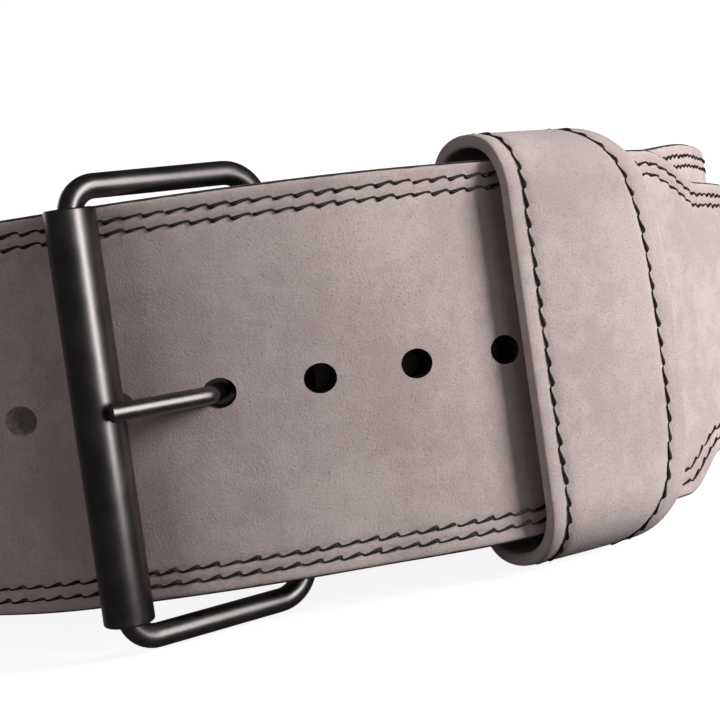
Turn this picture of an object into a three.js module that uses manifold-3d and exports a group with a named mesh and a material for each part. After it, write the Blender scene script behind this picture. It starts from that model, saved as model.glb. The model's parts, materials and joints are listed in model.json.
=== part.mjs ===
// A weightlifting belt, buckled into a loop and standing on its lower edge.
// Millimetres, +Z up. The buckle faces -Y, and the tongue runs on from it towards +X.
//
// The strap is described in three numbers. "along" is the distance along the outer face of the
// tongue, from the prong hole in use, to the right. "out" is the distance outwards from that
// face. "height" is the distance up from the middle of the strap's width.
import * as THREE from 'three';
import Module from 'manifold-3d';
import { mergeVertices } from 'three/addons/utils/BufferGeometryUtils.js';

// Strap
const STRAP_WIDTH = 100;
const STRAP_THICKNESS = 10;
const EDGE_BEVEL = 1.4;
const LAYER_GAP = 0.8;
const STATION_STEP = 6;

// Tongue: its shoulders, the lower one a little shorter, its narrow end and its round tip
const SHOULDER_START = 138;
const UPPER_SHOULDER_LENGTH = 32;
const LOWER_SHOULDER_LENGTH = 22;
const TONGUE_WIDTH = 81;
const TIP_ALONG = 226;
const TIP_CORNER_RADIUS = 26;

// Prong holes, a little longer along the strap than they are high
const HOLE_PITCH = 25.4;
const HOLE_LENGTH = 8.5;
const HOLE_HEIGHT = 7.6;
const HOLES_TOWARDS_TIP = 3;
const HOLES_TOWARDS_BACK = 6;

// Plan of the loop
const FRONT_RADIUS = 195;
const KEEPER_BEND_RADIUS = 50;
const RIGHT_SIDE_RADIUS = 400;
const RIGHT_END_RADIUS = 76;
const HEADING_AT_PRONG_HOLE = 2;
const TURN_BEFORE_PRONG_HOLE = 24;

// Lean of the strap: its top edge comes forward left of the buckle
const LEAN_LEFT = 12;
const LEAN_AT_BUCKLE = 4;

// Buckle
const WIRE_RADIUS = 3.1;
const FRAME_FRONT_CORNER = 7;
const FRAME_BACK_CORNER = 9;
const FRAME_DROP = 1.7;
const BUCKLE_SKEW = 0.6;
const ROLLER_ALONG = -28.4;
const ROLLER_RADIUS = 6.35;
const ROLLER_BORE_GAP = 0.6;
const ROLLER_BEVEL = 0.6;
const ROLLER_SEAT_GAP = 0.6;
const BAR_ALONG = 17;

// Strap end folded round the buckle's back bar, trimmed to go between the bends of the frame
const EYE_WIDTH = 94;
const EYE_BORE_GAP = 0.4;
const EYE_WALL = 4.1;
const EYE_TAPER = 26;
const PRONG_SLOT_GAP = 1;

// Prong
const PRONG_RADIUS = 2.3;
const PRONG_RING_WALL = 4.3;
const PRONG_RING_GAP = 0.35;
const PRONG_SEAT_GAP = 0.35;
const PRONG_OVERREACH = 0.6;
const PRONG_TIP_BEVEL = 0.7;
const PRONG_FOOT_ANGLE = 221;

// Keeper
const KEEPER_ALONG = 105.8;
const KEEPER_REACH = 26.5;
const KEEPER_PULL = 14;
const KEEPER_WALL = 3.6;
const KEEPER_EDGE_BEVEL = 1.2;
const KEEPER_FACE_GAP = 3.2;
const KEEPER_SIDE_GAP = 4.6;

// Facets
const TURN_STEP = 18;
const TIP_TURN_STEP = 15;
const EYE_TURN_STEP = 13;
const HOLE_SIDES = 20;
const ROLLER_SIDES = 24;
const WIRE_SIDES = 14;
const PRONG_SIDES = 12;
const PRONG_STEPS = 20;
const RING_SIDES = 24;
const STRAIGHT_SHARES = [0.75, 0.4, 0, -0.4, -0.75];
const WELD_DISTANCE = 1e-4;

const DEGREE = Math.PI / 180;
const wasm = await Module();
wasm.setup();

// Bends of the plan, in order from the left end of the front. Every bend turns the same way, and
// the six turns make a full circle. The last two radii are the ones that close the loop.
const BENDS = [
  { place: 'front', turn: 68, radius: FRONT_RADIUS },
  { place: 'right of the keeper', turn: 10, radius: KEEPER_BEND_RADIUS },
  { place: 'right side', turn: 11, radius: RIGHT_SIDE_RADIUS },
  { place: 'right end', turn: 91, radius: RIGHT_END_RADIUS },
  { place: 'back', turn: 87, radius: 0 },
  { place: 'left end', turn: 93, radius: 0 },
];

// Step made by a bend of radius 1 between two headings
function unitStep(from, to) {
  return new THREE.Vector2(Math.sin(to) - Math.sin(from), Math.cos(from) - Math.cos(to));
}

function closeLoop(bends) {
  const start = (HEADING_AT_PRONG_HOLE - TURN_BEFORE_PRONG_HOLE) * DEGREE;
  let heading = start;
  for (const bend of bends) {
    bend.from = heading;
    heading += bend.turn * DEGREE;
    bend.step = unitStep(bend.from, heading);
  }
  const [back, leftEnd] = bends.slice(-2);
  const open = new THREE.Vector2();
  for (const bend of bends) {
    open.addScaledVector(bend.step, bend.radius);
  }
  const spread = back.step.cross(leftEnd.step);
  back.radius = -open.cross(leftEnd.step) / spread;
  leftEnd.radius = open.cross(back.step) / spread;
  const corner = new THREE.Vector2();
  let along = -TURN_BEFORE_PRONG_HOLE * DEGREE * FRONT_RADIUS;
  for (const bend of bends) {
    bend.corner = corner.clone();
    bend.start = along;
    along += bend.turn * DEGREE * bend.radius;
    corner.addScaledVector(bend.step, bend.radius);
  }
  return along - bends[0].start;
}

const LOOP_LENGTH = closeLoop(BENDS);

// Point of the plan at a distance along it, with the heading there
function planAt(along) {
  const first = BENDS[0].start;
  const place = first + THREE.MathUtils.euclideanModulo(along - first, LOOP_LENGTH);
  const bend = BENDS.findLast((each) => each.start <= place);
  const heading = bend.from + (place - bend.start) / bend.radius;
  const point = bend.corner.clone().addScaledVector(unitStep(bend.from, heading), bend.radius);
  return { x: point.x, y: point.y, heading };
}

// Smooth passage through a table of rows { at, value }
function between(rows, at) {
  if (at <= rows[0].at) {
    return rows[0].value;
  }
  const last = rows.findIndex((row) => row.at >= at);
  if (last < 0) {
    return rows.at(-1).value;
  }
  const [low, high] = [rows[last - 1], rows[last]];
  const share = THREE.MathUtils.smoothstep(at, low.at, high.at);
  return THREE.MathUtils.lerp(low.value, high.value, share);
}

const BUCKLE_LEFT = ROLLER_ALONG - 2 * ROLLER_RADIUS;
const BUCKLE_RIGHT = BAR_ALONG + 2 * ROLLER_RADIUS;
const LEAN_ROWS = [
  { at: BUCKLE_LEFT - 0.33 * LOOP_LENGTH, value: 0 },
  { at: BUCKLE_LEFT - 0.07 * LOOP_LENGTH, value: LEAN_LEFT },
  { at: BUCKLE_LEFT, value: LEAN_AT_BUCKLE },
  { at: BUCKLE_RIGHT, value: LEAN_AT_BUCKLE },
  { at: BUCKLE_RIGHT + 0.05 * LOOP_LENGTH, value: 0 },
];

function leanAt(along) {
  const start = LEAN_ROWS[0].at;
  const place = start + THREE.MathUtils.euclideanModulo(along - start, LOOP_LENGTH);
  return between(LEAN_ROWS, place) * DEGREE;
}

// Point of space from along, out and height
function beltPoint(along, out, height) {
  const plan = planAt(along);
  const lean = leanAt(along);
  const reach = height * Math.sin(lean) + out * Math.cos(lean);
  return new THREE.Vector3(
    plan.x + Math.sin(plan.heading) * reach,
    plan.y - Math.cos(plan.heading) * reach,
    height * Math.cos(lean) - out * Math.sin(lean),
  );
}

// The buckle's own axes: X along the strap, Y inwards and Z along the roller, with the origin
// at the middle of the prong hole on the outer face
function buckleMatrix() {
  const { heading } = planAt(0);
  const lean = leanAt(0);
  const skew = BUCKLE_SKEW * DEGREE;
  const right = new THREE.Vector3(Math.cos(heading), Math.sin(heading), 0);
  const facing = new THREE.Vector3(Math.sin(heading), -Math.cos(heading), 0);
  const up = new THREE.Vector3(0, 0, Math.cos(lean)).addScaledVector(facing, Math.sin(lean));
  const across = right.clone().multiplyScalar(Math.cos(skew)).addScaledVector(up, -Math.sin(skew));
  const rise = up.clone().multiplyScalar(Math.cos(skew)).addScaledVector(right, Math.sin(skew));
  const inwards = new THREE.Vector3().crossVectors(rise, across);
  return new THREE.Matrix4().makeBasis(across, inwards, rise).setPosition(beltPoint(0, 0, 0));
}

const TO_BUCKLE = buckleMatrix().invert();

// Place in the buckle's plan of a point given by along and out
function bucklePlace(along, out) {
  const point = beltPoint(along, out, 0).applyMatrix4(TO_BUCKLE);
  return new THREE.Vector2(point.x, point.y);
}

const EYE_BORE = WIRE_RADIUS + EYE_BORE_GAP;
const EYE_RADIUS = EYE_BORE + EYE_WALL;
const PRONG_RING_BORE = WIRE_RADIUS + PRONG_RING_GAP;
const PRONG_RING_RADIUS = PRONG_RING_BORE + PRONG_RING_WALL;
const BAR_DEPTH = STRAP_THICKNESS + LAYER_GAP + Math.max(EYE_RADIUS, PRONG_RING_RADIUS);
const BAR = bucklePlace(BAR_ALONG, -BAR_DEPTH);
const ROLLER = bucklePlace(ROLLER_ALONG, ROLLER_SEAT_GAP + ROLLER_RADIUS);

// Length of a wire's bend over which it strays from straight by half a gap
function bendOverlap(bendRadius, gap) {
  return Math.sqrt(bendRadius * gap);
}

// The strap's eye and the roller reach just into the wire's bends. The frame hangs with its
// middle below that of the strap, and on the skewed bar the eye stands a little higher at its top.
const EYE_REACH = EYE_WIDTH / 2 + FRAME_DROP + BAR_ALONG * Math.sin(BUCKLE_SKEW * DEGREE);
const FRAME_HALF_HEIGHT = EYE_REACH + FRAME_BACK_CORNER
  - bendOverlap(FRAME_BACK_CORNER, EYE_BORE_GAP);
const ROLLER_HALF_LENGTH = FRAME_HALF_HEIGHT - FRAME_FRONT_CORNER
  + bendOverlap(FRAME_FRONT_CORNER, ROLLER_BORE_GAP);

// A mesh through rings of points. Open ends are closed with a fan, and a ring is convex there.
function skin(rings, closed) {
  const count = rings[0].length;
  const positions = rings.flat().flatMap((point) => point.toArray());
  const index = [];
  const spans = closed ? rings.length : rings.length - 1;
  for (let ring = 0; ring < spans; ring += 1) {
    const here = ring * count;
    const next = ((ring + 1) % rings.length) * count;
    for (let side = 0; side < count; side += 1) {
      const turn = (side + 1) % count;
      index.push(here + side, next + side, next + turn);
      index.push(here + side, next + turn, here + turn);
    }
  }
  if (!closed) {
    const end = (rings.length - 1) * count;
    for (let side = 1; side < count - 1; side += 1) {
      index.push(0, side, side + 1);
      index.push(end, end + side + 1, end + side);
    }
  }
  const geometry = new THREE.BufferGeometry();
  geometry.setAttribute('position', new THREE.Float32BufferAttribute(positions, 3));
  geometry.setIndex(index);
  return geometry;
}

function toSolid(geometry) {
  const bare = geometry.clone();
  bare.deleteAttribute('normal');
  bare.deleteAttribute('uv');
  const merged = mergeVertices(bare, WELD_DISTANCE);
  const vertProperties = new Float32Array(merged.attributes.position.array);
  const triVerts = new Uint32Array(merged.index.array);
  const solid = new wasm.Manifold(new wasm.Mesh({ numProp: 3, vertProperties, triVerts }));
  if (solid.volume() > 0) {
    return solid;
  }
  for (let face = 0; face < triVerts.length; face += 3) {
    [triVerts[face + 1], triVerts[face + 2]] = [triVerts[face + 2], triVerts[face + 1]];
  }
  return new wasm.Manifold(new wasm.Mesh({ numProp: 3, vertProperties, triVerts }));
}

function toGeometry(solid) {
  const mesh = solid.getMesh();
  const geometry = new THREE.BufferGeometry();
  geometry.setAttribute('position', new THREE.Float32BufferAttribute(mesh.vertProperties, 3));
  geometry.setIndex(Array.from(mesh.triVerts));
  return geometry;
}

// Strap: how far the outer face lies inside the plan. The tongue lies on the plan itself, and
// the stretch under it lies one layer further in. The back takes up the difference.
const INSET_DONE = TIP_ALONG + 0.03 * LOOP_LENGTH - LOOP_LENGTH;
const INSET_START = -0.28 * LOOP_LENGTH;

function insetAt(along) {
  const share = 1 - THREE.MathUtils.smoothstep(along, INSET_DONE, INSET_START);
  return (STRAP_THICKNESS + LAYER_GAP) * share;
}

const EYE_ALONG = BAR_ALONG - LOOP_LENGTH;

// Depths of the outer and inner faces. Near the back bar they open into an eye round it.
function facesAt(along) {
  const inset = insetAt(along);
  const past = along - EYE_ALONG;
  const share = THREE.MathUtils.smoothstep(past, 0, EYE_TAPER);
  const eyeHalf = past < 0 ? Math.sqrt(EYE_RADIUS ** 2 - past ** 2) : EYE_RADIUS;
  const half = THREE.MathUtils.lerp(eyeHalf, STRAP_THICKNESS / 2, share);
  const middle = THREE.MathUtils.lerp(BAR_DEPTH, inset + STRAP_THICKNESS / 2, share);
  return { outer: middle - half, inner: middle + half, skewShare: 1 - share };
}

// Height of the strap's edge above the middle of its width, or below it
function halfWidthAt(along, shoulderLength) {
  const narrowing = (STRAP_WIDTH - TONGUE_WIDTH) / 2;
  const share = THREE.MathUtils.smoothstep(along, SHOULDER_START, SHOULDER_START + shoulderLength);
  const half = STRAP_WIDTH / 2 - narrowing * share;
  const intoCorner = Math.max(TIP_CORNER_RADIUS - (TIP_ALONG - along), 0);
  const corner = Math.sqrt(Math.max(TIP_CORNER_RADIUS ** 2 - intoCorner ** 2, 0));
  return half - TIP_CORNER_RADIUS + corner;
}

function strapSection(along) {
  const { outer, inner, skewShare } = facesAt(along);
  const trim = skewShare * (STRAP_WIDTH - EYE_WIDTH) / 2;
  const upper = halfWidthAt(along, UPPER_SHOULDER_LENGTH) - trim;
  const lower = trim - halfWidthAt(along, LOWER_SHOULDER_LENGTH);
  const bevel = Math.min(EDGE_BEVEL, (inner - outer) / 3);
  const corners = [
    [outer, upper - bevel], [outer + bevel, upper], [inner - bevel, upper], [inner, upper - bevel],
    [inner, lower + bevel], [inner - bevel, lower], [outer + bevel, lower], [outer, lower + bevel],
  ];
  const skew = Math.tan(BUCKLE_SKEW * DEGREE) * skewShare;
  return corners.map(([depth, height]) => beltPoint(along + skew * height, -depth, height));
}

// Stations of the strap from the nose of the eye to the tip
function strapStations() {
  const stations = [];
  for (let turn = EYE_TURN_STEP; turn < 90; turn += EYE_TURN_STEP) {
    stations.push(EYE_ALONG - EYE_RADIUS * Math.cos(turn * DEGREE));
  }
  const cornerStart = TIP_ALONG - TIP_CORNER_RADIUS;
  const steps = Math.round((cornerStart - EYE_ALONG) / STATION_STEP);
  for (let step = 0; step < steps; step += 1) {
    stations.push(THREE.MathUtils.lerp(EYE_ALONG, cornerStart, step / steps));
  }
  for (let turn = 0; turn <= 90; turn += TIP_TURN_STEP) {
    stations.push(cornerStart + TIP_CORNER_RADIUS * Math.sin(turn * DEGREE));
  }
  return stations;
}

// Cutter for one prong hole: an oval bar square to the strap
function holeCutter(along) {
  const outside = beltPoint(along, STRAP_THICKNESS, 0);
  const inside = beltPoint(along, -STRAP_THICKNESS - LAYER_GAP / 2, 0);
  const cutter = new THREE.CylinderGeometry(1, 1, outside.distanceTo(inside), HOLE_SIDES);
  cutter.scale(HOLE_LENGTH / 2, 1, HOLE_HEIGHT / 2);
  const outwards = outside.clone().sub(inside).normalize();
  const sideways = new THREE.Vector3(0, 0, 1).cross(outwards).normalize();
  const upwards = new THREE.Vector3().crossVectors(sideways, outwards);
  const middle = outside.clone().add(inside).multiplyScalar(0.5);
  cutter.applyMatrix4(new THREE.Matrix4().makeBasis(sideways, outwards, upwards).setPosition(middle));
  return toSolid(cutter);
}

function makeStrap() {
  let strap = toSolid(skin(strapStations().map(strapSection), false));
  for (let hole = -HOLES_TOWARDS_BACK; hole <= HOLES_TOWARDS_TIP; hole += 1) {
    strap = strap.subtract(holeCutter(hole * HOLE_PITCH));
  }
  const bore = new THREE.CylinderGeometry(EYE_BORE, EYE_BORE, 2 * STRAP_WIDTH, HOLE_SIDES);
  bore.rotateX(90 * DEGREE).translate(BAR.x, BAR.y, 0).applyMatrix4(buckleMatrix());
  const slotReach = 2 * (PRONG_RING_RADIUS + PRONG_SLOT_GAP);
  const slotHeight = 2 * (PRONG_RADIUS + PRONG_SLOT_GAP);
  const slot = new THREE.BoxGeometry(slotReach, slotReach, slotHeight);
  slot.translate(BAR.x, BAR.y, 0).applyMatrix4(buckleMatrix());
  const slotSolid = toSolid(slot).subtract(tongueKeepOut());
  return toGeometry(strap.subtract(toSolid(bore)).subtract(slotSolid));
}

// The space of the tongue over the buckle, which the prong slot leaves whole
function tongueKeepOut() {
  const rings = [];
  for (let along = BUCKLE_LEFT; along <= BUCKLE_RIGHT; along += STATION_STEP) {
    const corners = [[1, -1], [1, 1], [-1, 1], [-1, -1]];
    rings.push(corners.map(([out, side]) => beltPoint(
      along,
      out * (STRAP_THICKNESS + LAYER_GAP / 2),
      side * STRAP_WIDTH / 2,
    )));
  }
  return toSolid(skin(rings, false));
}

// Buckle frame: one bent wire, narrower bends at the roller than at the back bar
function makeFrame() {
  const span = new THREE.Vector2().subVectors(BAR, ROLLER);
  const ahead = new THREE.Vector3(span.x, span.y, 0).normalize();
  const upright = new THREE.Vector3(0, 0, 1);
  const face = new THREE.Vector3().crossVectors(ahead, upright);
  const length = span.length();
  const corners = [
    { reach: 0, side: -1, radius: FRAME_FRONT_CORNER, from: 180 },
    { reach: length, side: -1, radius: FRAME_BACK_CORNER, from: 270 },
    { reach: length, side: 1, radius: FRAME_BACK_CORNER, from: 0 },
    { reach: 0, side: 1, radius: FRAME_FRONT_CORNER, from: 90 },
  ];
  const rings = [];
  for (const corner of corners) {
    const centreReach = corner.reach + (corner.reach > 0 ? -corner.radius : corner.radius);
    const centreHeight = corner.side * (FRAME_HALF_HEIGHT - corner.radius) - FRAME_DROP;
    for (let turn = 0; turn <= 90; turn += TURN_STEP) {
      const angle = (corner.from + turn) * DEGREE;
      const spoke = ahead.clone().multiplyScalar(Math.cos(angle)).addScaledVector(upright, Math.sin(angle));
      const centre = new THREE.Vector3(ROLLER.x, ROLLER.y, centreHeight).addScaledVector(ahead, centreReach);
      centre.addScaledVector(spoke, corner.radius);
      rings.push(circle(centre, spoke, face, WIRE_RADIUS, WIRE_SIDES));
    }
  }
  return skin(rings, true);
}

function circle(centre, first, second, radius, sides) {
  return Array.from({ length: sides }, (_, side) => {
    const angle = (2 * Math.PI * side) / sides;
    return centre.clone()
      .addScaledVector(first, radius * Math.cos(angle))
      .addScaledVector(second, radius * Math.sin(angle));
  });
}

// Roller: a tube that turns on the front wire
function makeRoller() {
  const half = ROLLER_HALF_LENGTH;
  const bore = WIRE_RADIUS + ROLLER_BORE_GAP;
  const profile = [
    [bore, -half], [ROLLER_RADIUS - ROLLER_BEVEL, -half], [ROLLER_RADIUS, ROLLER_BEVEL - half],
    [ROLLER_RADIUS, half - ROLLER_BEVEL], [ROLLER_RADIUS - ROLLER_BEVEL, half], [bore, half],
    [bore, -half],
  ];
  const tube = new THREE.LatheGeometry(profile.map(([x, y]) => new THREE.Vector2(x, y)), ROLLER_SIDES);
  return tube.rotateX(90 * DEGREE).translate(ROLLER.x, ROLLER.y, -FRAME_DROP);
}

// Prong: a ring round the back bar, a shank out through the hole, a bend round the hole's rim and
// a straight shaft whose tip rests on the roller. Places are in the buckle's plan, where Y points
// inwards.
function prongPath() {
  const ringMiddle = (PRONG_RING_BORE + PRONG_RING_RADIUS) / 2;
  const ring = new THREE.Vector2(
    BAR.x + ringMiddle * Math.cos(PRONG_FOOT_ANGLE * DEGREE),
    BAR.y + ringMiddle * Math.sin(PRONG_FOOT_ANGLE * DEGREE),
  );
  const rim = new THREE.Vector2(-HOLE_LENGTH / 2, 0);
  const rimSeat = PRONG_RADIUS + PRONG_SEAT_GAP;
  const rollerSeat = ROLLER_RADIUS + rimSeat;
  const toRoller = new THREE.Vector2().subVectors(ROLLER, rim);
  const rise = rollerSeat - rimSeat;
  const slope = toRoller.angle() + Math.asin(rise / toRoller.length());
  const shaft = new THREE.Vector2(Math.cos(slope), Math.sin(slope));
  const kneeTurn = Math.atan2(-shaft.x, -shaft.y);
  const roundRim = [0, 0.35, 0.7, 1].map((share) => new THREE.Vector2(
    rim.x + rimSeat * Math.cos(kneeTurn * share),
    rim.y - rimSeat * Math.sin(kneeTurn * share),
  ));
  const shankFoot = new THREE.Vector2(0.2 * HOLE_LENGTH, STRAP_THICKNESS + LAYER_GAP + PRONG_RADIUS);
  const shankMiddle = new THREE.Vector2(-0.02 * HOLE_LENGTH, 0.55 * STRAP_THICKNESS);
  const toTip = Math.sqrt(toRoller.lengthSq() - rise ** 2) + PRONG_OVERREACH;
  const tip = roundRim.at(-1).clone().addScaledVector(shaft, toTip);
  return { bends: [ring, shankFoot, shankMiddle, ...roundRim], tip, shaft };
}

function makeProng() {
  const { bends, tip, shaft } = prongPath();
  const bent = new THREE.CatmullRomCurve3(
    bends.map(({ x, y }) => new THREE.Vector3(x, y, 0)),
    false,
    'centripetal',
  );
  const upright = new THREE.Vector3(0, 0, 1);
  const rings = [];
  for (let step = 0; step <= PRONG_STEPS; step += 1) {
    const centre = bent.getPointAt(step / PRONG_STEPS);
    const heading = bent.getTangentAt(step / PRONG_STEPS);
    const sideways = new THREE.Vector3().crossVectors(heading, upright).normalize();
    rings.push(circle(centre, sideways, upright, PRONG_RADIUS, PRONG_SIDES));
  }
  const ahead = new THREE.Vector3(shaft.x, shaft.y, 0);
  const sideways = new THREE.Vector3().crossVectors(ahead, upright);
  const end = new THREE.Vector3(tip.x, tip.y, 0);
  const beforeEnd = end.clone().addScaledVector(ahead, -PRONG_TIP_BEVEL);
  rings.push(circle(beforeEnd, sideways, upright, PRONG_RADIUS, PRONG_SIDES));
  rings.push(circle(end, sideways, upright, PRONG_RADIUS - PRONG_TIP_BEVEL, PRONG_SIDES));
  const outline = new THREE.Shape().absarc(BAR.x, BAR.y, PRONG_RING_RADIUS, 0, 2 * Math.PI, false);
  outline.holes.push(new THREE.Path().absarc(BAR.x, BAR.y, PRONG_RING_BORE, 0, 2 * Math.PI, true));
  const ringDepth = 2 * PRONG_RADIUS;
  const flatRing = new THREE.ExtrudeGeometry(outline, {
    depth: ringDepth,
    bevelEnabled: false,
    curveSegments: RING_SIDES / 2,
  });
  flatRing.translate(0, 0, -ringDepth / 2);
  return toGeometry(toSolid(skin(rings, false)).add(toSolid(flatRing)));
}

// Keeper: a loose band of leather round both layers. It runs straight over their faces and turns
// in a half circle over each edge, where it rests on the strap's corners. Its right edge is pulled
// in at the turns.
function keeperStations() {
  const halfWall = KEEPER_WALL / 2;
  const outerFace = KEEPER_FACE_GAP + halfWall;
  const innerFace = -(2 * STRAP_THICKNESS + LAYER_GAP + KEEPER_FACE_GAP + halfWall);
  const half = STRAP_WIDTH / 2 + KEEPER_SIDE_GAP + halfWall;
  const radius = (outerFace - innerFace) / 2;
  const stations = [];
  for (const side of [1, -1]) {
    for (let turn = 0; turn <= 180; turn += TURN_STEP) {
      const normal = new THREE.Vector2(side * Math.cos(turn * DEGREE), side * Math.sin(turn * DEGREE));
      const out = innerFace + radius + radius * normal.x;
      const height = side * (half - radius) + radius * normal.y;
      stations.push({ out, height, normal });
    }
    const onFace = side > 0 ? innerFace : outerFace;
    for (const share of STRAIGHT_SHARES) {
      const height = side * share * (half - radius);
      stations.push({ out: onFace, height, normal: new THREE.Vector2(-side, 0) });
    }
  }
  return { stations, half };
}

function makeKeeper() {
  const { stations, half } = keeperStations();
  const halfWall = KEEPER_WALL / 2;
  const bevel = KEEPER_EDGE_BEVEL;
  const acrossShares = [-1, -0.5, 0, 0.5, 1];
  const rings = stations.map(({ out, height, normal }) => {
    const pull = KEEPER_PULL * Math.abs(height / half) ** 3.5;
    const left = KEEPER_ALONG - KEEPER_REACH;
    const right = KEEPER_ALONG + KEEPER_REACH - pull;
    const middle = (left + right) / 2;
    const reach = (right - left) / 2;
    const faces = acrossShares.map((share) => [middle + share * (reach - bevel), halfWall]);
    const backs = acrossShares.map((share) => [middle - share * (reach - bevel), -halfWall]);
    const profile = [
      ...faces, [right, halfWall - bevel], [right, bevel - halfWall],
      ...backs, [left, bevel - halfWall], [left, halfWall - bevel],
    ];
    return profile.map(([along, off]) => beltPoint(
      along,
      out + normal.x * off,
      height + normal.y * off,
    ));
  });
  return toGeometry(toSolid(skin(rings, true)));
}

const LEATHER = new THREE.MeshStandardMaterial({ color: 0xb5a29f, roughness: 0.92, metalness: 0 });
const KEEPER_LEATHER = new THREE.MeshStandardMaterial({ color: 0xbeacaa, roughness: 0.92, metalness: 0 });
const DARK_METAL = new THREE.MeshStandardMaterial({ color: 0x2b2829, roughness: 0.38, metalness: 0.9 });

function named(name, geometry, material) {
  const mesh = new THREE.Mesh(toGeometry(toSolid(geometry)), material);
  mesh.name = name;
  return mesh;
}

const buckle = new THREE.Group();
buckle.applyMatrix4(buckleMatrix());
buckle.add(named('buckle_frame', makeFrame(), DARK_METAL));
buckle.add(named('buckle_roller', makeRoller(), DARK_METAL));
buckle.add(named('buckle_prong', makeProng(), DARK_METAL));

const belt = new THREE.Group();
belt.add(named('belt_strap', makeStrap(), LEATHER));
belt.add(named('keeper', makeKeeper(), KEEPER_LEATHER));
belt.add(buckle);

// The lower bar of the buckle reaches below the strap's edge, so the belt stands tipped back a
// little, on that bar and on the strap's lower edge at the back.
function standOnFloor(group) {
  const strap = new THREE.Box3().setFromObject(group.getObjectByName('belt_strap'));
  const frame = new THREE.Box3().setFromObject(group.getObjectByName('buckle_frame'));
  const drop = -STRAP_WIDTH / 2 - frame.min.z;
  const depth = strap.max.y - (frame.min.y + frame.max.y) / 2;
  group.rotation.x = -Math.atan2(drop, depth);
  group.updateMatrixWorld(true);
  const stood = new THREE.Box3().setFromObject(group, true);
  const centre = stood.getCenter(new THREE.Vector3());
  group.position.set(-centre.x, -centre.y, -stood.min.z);
}

standOnFloor(belt);
const model = new THREE.Group();
model.add(belt);

export default model;
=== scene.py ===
# %% [markdown]
# # A weightlifting belt
#
# The belt is one thick strap of nubuck leather, buckled into a loop and standing on its lower
# edge. A dark round-wire buckle with a roller and one prong closes it, and a wide leather keeper
# holds the tongue down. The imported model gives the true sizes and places. This script gives each
# piece its fine surface and its finish.

# %% Load the fixed frame
import json
import math

import bpy
import numpy as np
from mathutils import Matrix, Vector


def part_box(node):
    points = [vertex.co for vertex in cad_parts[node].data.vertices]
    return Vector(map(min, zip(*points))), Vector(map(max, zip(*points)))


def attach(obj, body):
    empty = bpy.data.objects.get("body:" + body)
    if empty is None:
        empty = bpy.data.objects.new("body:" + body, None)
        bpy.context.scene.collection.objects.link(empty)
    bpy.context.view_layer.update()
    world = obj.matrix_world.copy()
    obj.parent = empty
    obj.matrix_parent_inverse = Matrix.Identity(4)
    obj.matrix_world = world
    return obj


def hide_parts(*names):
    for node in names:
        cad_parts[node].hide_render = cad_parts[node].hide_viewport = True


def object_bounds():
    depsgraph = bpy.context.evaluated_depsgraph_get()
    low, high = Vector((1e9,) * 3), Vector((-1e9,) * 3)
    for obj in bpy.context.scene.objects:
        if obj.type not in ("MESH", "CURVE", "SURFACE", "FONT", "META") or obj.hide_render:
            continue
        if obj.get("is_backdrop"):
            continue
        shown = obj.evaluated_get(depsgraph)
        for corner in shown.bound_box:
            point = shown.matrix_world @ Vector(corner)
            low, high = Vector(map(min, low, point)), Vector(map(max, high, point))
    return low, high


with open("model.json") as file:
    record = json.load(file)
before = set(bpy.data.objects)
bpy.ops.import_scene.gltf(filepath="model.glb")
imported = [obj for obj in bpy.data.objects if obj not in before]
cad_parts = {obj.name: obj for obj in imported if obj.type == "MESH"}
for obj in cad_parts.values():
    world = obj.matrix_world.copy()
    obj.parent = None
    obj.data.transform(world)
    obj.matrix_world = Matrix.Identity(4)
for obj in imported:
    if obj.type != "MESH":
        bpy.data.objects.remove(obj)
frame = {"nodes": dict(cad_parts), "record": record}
cad_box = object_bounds()
print("nodes:", sorted(frame["nodes"]))
bpy.context.scene.view_settings.view_transform = "Standard"

# %% [markdown]
# ## The loop
#
# A strap is easiest to shape in its own three numbers: how far along it a point lies, how far out
# of its face, and how high above its middle line. A curve object with a bevel could carry a
# section too, but then the lean of the strap and the exact length would be hard to hold. So the
# plan is a chain of arcs, and one function turns along, out and height into a place in space.

# %% Sizes of the strap and plan of the loop
STRAP_WIDTH = 0.100
STRAP_THICKNESS = 0.010
EDGE_BEVEL = 0.0014
LAYER_GAP = 0.0008
HEADING_AT_PRONG_HOLE = 2
TURN_BEFORE_PRONG_HOLE = 24
# Each bend: degrees that it turns, radius. The last two radii are found by closing the loop.
BENDS = [(68, 0.195), (10, 0.050), (11, 0.400), (91, 0.076), (87, None), (93, None)]


def unit_step(start, end):
    """Step of an arc of radius 1: (sin end - sin start, cos start - cos end)."""
    return np.stack([np.sin(end) - np.sin(start), np.cos(start) - np.cos(end)], axis=-1)


TURN = np.radians([turn for turn, _ in BENDS])
BEND_ENDS = np.radians(HEADING_AT_PRONG_HOLE - TURN_BEFORE_PRONG_HOLE) + np.cumsum(TURN)
BEND_STARTS = BEND_ENDS - TURN
STEPS = unit_step(BEND_STARTS, BEND_ENDS)
RADII = np.array([radius or 0.0 for _, radius in BENDS])
RADII[-2:] = np.linalg.solve(STEPS[-2:].T, -(RADII[:, None] * STEPS).sum(axis=0))
FIRST_ALONG = -np.radians(TURN_BEFORE_PRONG_HOLE) * RADII[0]
ALONG_ENDS = FIRST_ALONG + np.cumsum(TURN * RADII)
ALONG_STARTS = ALONG_ENDS - TURN * RADII
CORNERS = np.cumsum(RADII[:, None] * STEPS, axis=0) - RADII[:, None] * STEPS
LOOP_LENGTH = ALONG_ENDS[-1] - FIRST_ALONG


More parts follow.
